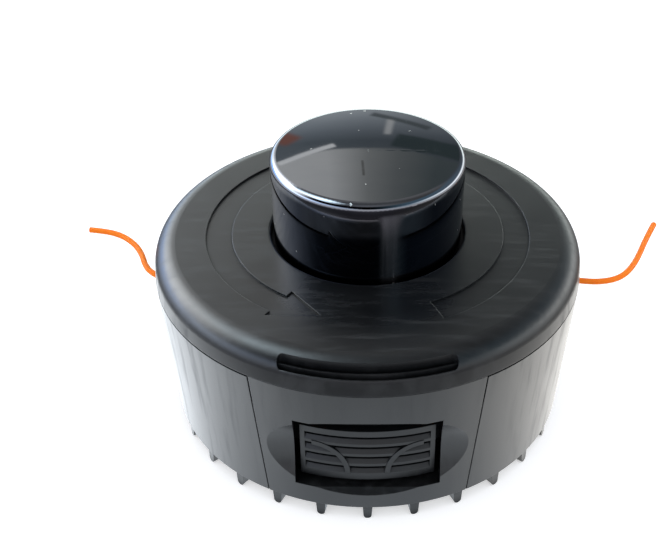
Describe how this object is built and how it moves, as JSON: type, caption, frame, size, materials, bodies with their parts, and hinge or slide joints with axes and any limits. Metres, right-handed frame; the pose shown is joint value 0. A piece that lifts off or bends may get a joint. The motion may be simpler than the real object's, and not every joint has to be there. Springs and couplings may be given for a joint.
{
  "type": "trimmer head",
  "caption": "Tap-and-go line trimmer head: drafted bowl with cooling vanes, latched cover, steel knob that taps in against a spring, and two line ends.",
  "frame": {"origin": "centre of the footprint, on the tips of the cooling vanes, on the drive axis", "axes": "+Z along the drive axis from the machine side to the knob; -Y to the front latch tab of the picture; line ends leave at -X and +X"},
  "size_m": [0.1613, 0.11, 0.0745],
  "materials": {
    "housing_plastic": "satin black nylon",
    "cover_plastic": "satin black nylon",
    "inner_plastic": "plain black nylon",
    "knob_steel": "polished, dark chromed steel",
    "steel": "zinc-plated steel",
    "eyelet_metal": "plain",
    "line_nylon": "orange nylon line"
  },
  "bodies": {
    "housing": {"housing": "housing_plastic", "arbor_insert": "steel", "eyelet_left": "eyelet_metal", "eyelet_right": "eyelet_metal", "cover": "cover_plastic", "spring": "steel", "line_lead_left": "line_nylon", "line_lead_right": "line_nylon", "line_left": "line_nylon", "line_right": "line_nylon"},
    "washer": {"thrust_washer": "steel"},
    "spool": {"spool": "inner_plastic", "line_winding": "line_nylon", "knob_core": "inner_plastic", "knob_cap": "knob_steel", "knob_screws": "steel"}
  },
  "joints": [
    {"name": "bump", "type": "slide", "parent": "housing", "child": "washer", "axis": [0, 0, 1], "range_m": [-0.005, 0], "stiffness_N_per_m": 600, "springref_m": 0.0225, "deforming": ["spring"]},
    {"name": "spool_turn", "type": "hinge", "parent": "washer", "child": "spool", "pos_m": [0, 0, 0.04], "axis": [0, 0, 1], "range_deg": [0, 20]}
  ]
}
